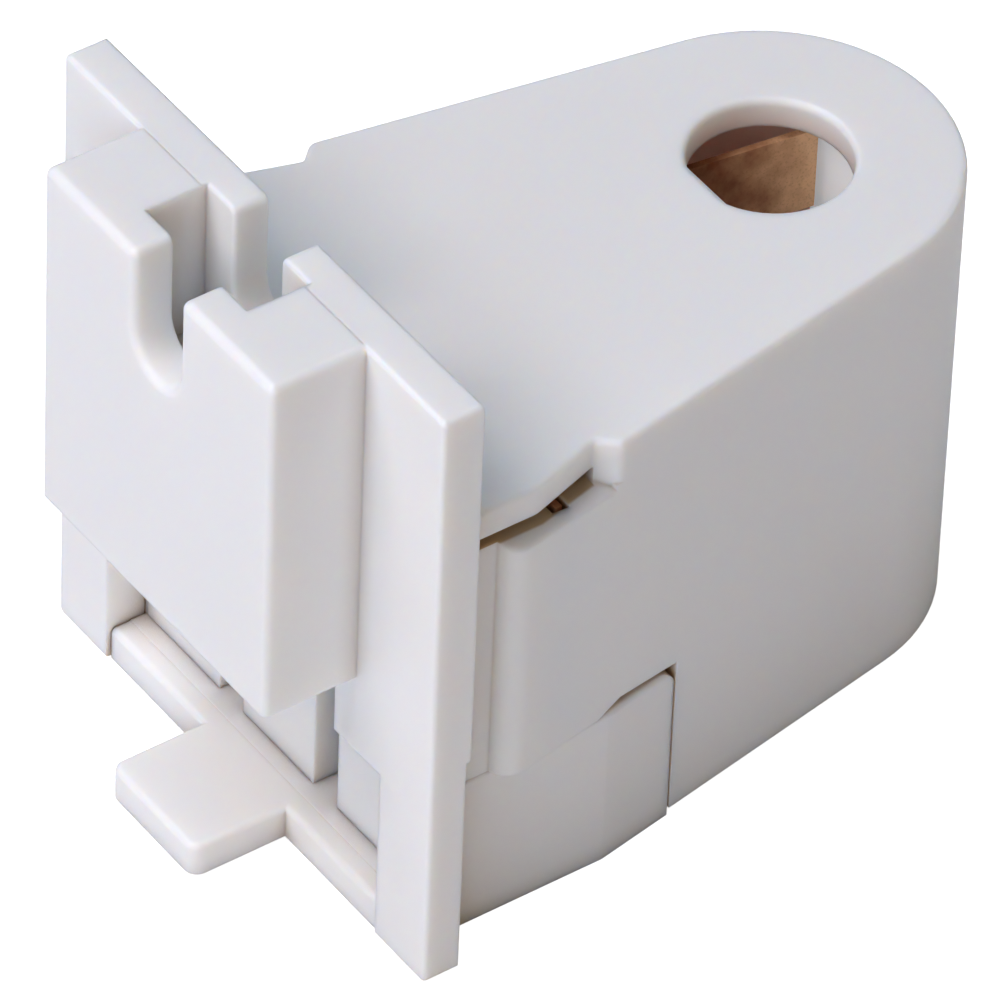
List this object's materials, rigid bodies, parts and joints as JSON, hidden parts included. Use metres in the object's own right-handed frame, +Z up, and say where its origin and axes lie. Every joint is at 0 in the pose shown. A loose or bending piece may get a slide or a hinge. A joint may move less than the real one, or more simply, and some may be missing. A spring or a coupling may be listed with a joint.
{
  "type": "fluorescent tube lamp holder",
  "caption": "Slide-on holder for one end of a slimline fluorescent tube: tapered box with round nose, pin hole with spring leaves, foot plate and screw block.",
  "frame": {"origin": "middle of the base: centre of the bounding box in x and y, at the lowest point of the rear face", "axes": "+Z is up and along the lamp pin's hole, the way the lamp leaves; +Y runs from the foot plate to the round nose; X runs across the width"},
  "size_m": [0.0344, 0.0494, 0.0398],
  "materials": {
    "moulding": "semi-gloss white moulding, softly rounded edges",
    "cover_moulding": "semi-gloss white moulding",
    "contact_strip": "bronze spring strip with a brushed, faintly mottled face and bright cut edges"
  },
  "bodies": {
    "base": {"housing": "moulding", "rear_cover": "cover_moulding"},
    "left_contact": {"contact_left": "contact_strip"},
    "right_contact": {"contact_right": "contact_strip"}
  },
  "joints": [
    {"name": "left_leaf_flex", "type": "hinge", "parent": "base", "child": "left_contact", "pos_m": [-0.011, -0.00785, 0.0245], "axis": [0, 0, 1], "range_deg": [0, 2], "stiffness_Nm_per_rad": 0.25},
    {"name": "right_leaf_flex", "type": "hinge", "parent": "base", "child": "right_contact", "pos_m": [0.011, -0.00785, 0.0245], "axis": [0, 0, -1], "range_deg": [0, 2], "stiffness_Nm_per_rad": 0.25}
  ]
}
